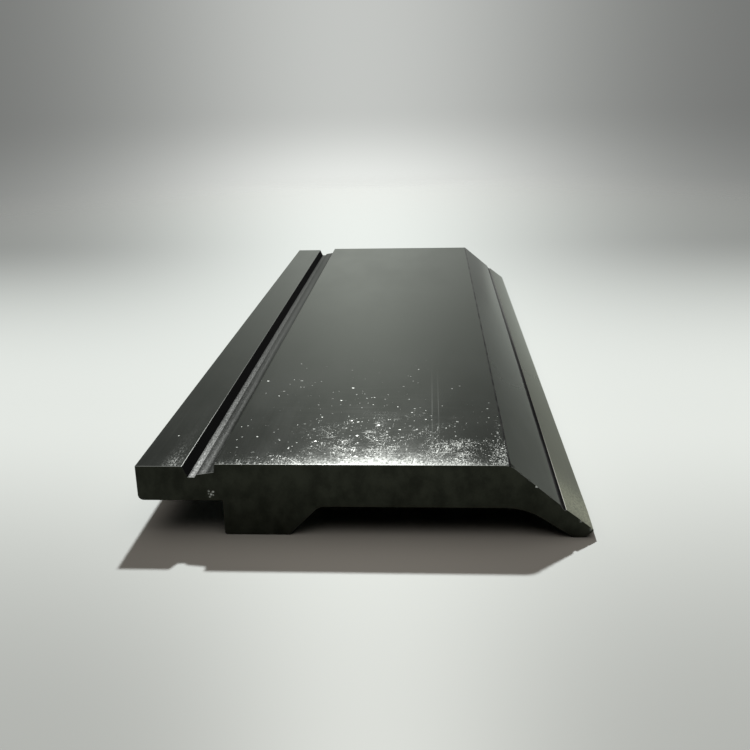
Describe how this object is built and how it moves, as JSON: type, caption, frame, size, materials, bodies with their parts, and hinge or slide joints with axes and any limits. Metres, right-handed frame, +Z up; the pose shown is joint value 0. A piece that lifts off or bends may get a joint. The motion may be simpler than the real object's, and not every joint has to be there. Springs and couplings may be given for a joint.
{
  "type": "press brake punch",
  "caption": "Gooseneck press brake punch: a bar with a grooved tang, a shoulder, a relieved web and a ground bending tip, lying on its relieved side.",
  "frame": {"origin": "centre of the bar's footprint, on the plane that its foot and nose rest on", "axes": "+X across the bar from the tang to the bending tip, +Y along the bar, +Z up through the flat front face"},
  "size_m": [0.159, 0.415, 0.027],
  "materials": {
    "tool_steel": "dark blackened tool steel, semi-gloss, with bare ground metal along the bending tip"
  },
  "bodies": {
    "root": {"punch": "tool_steel"}
  },
  "joints": []
}
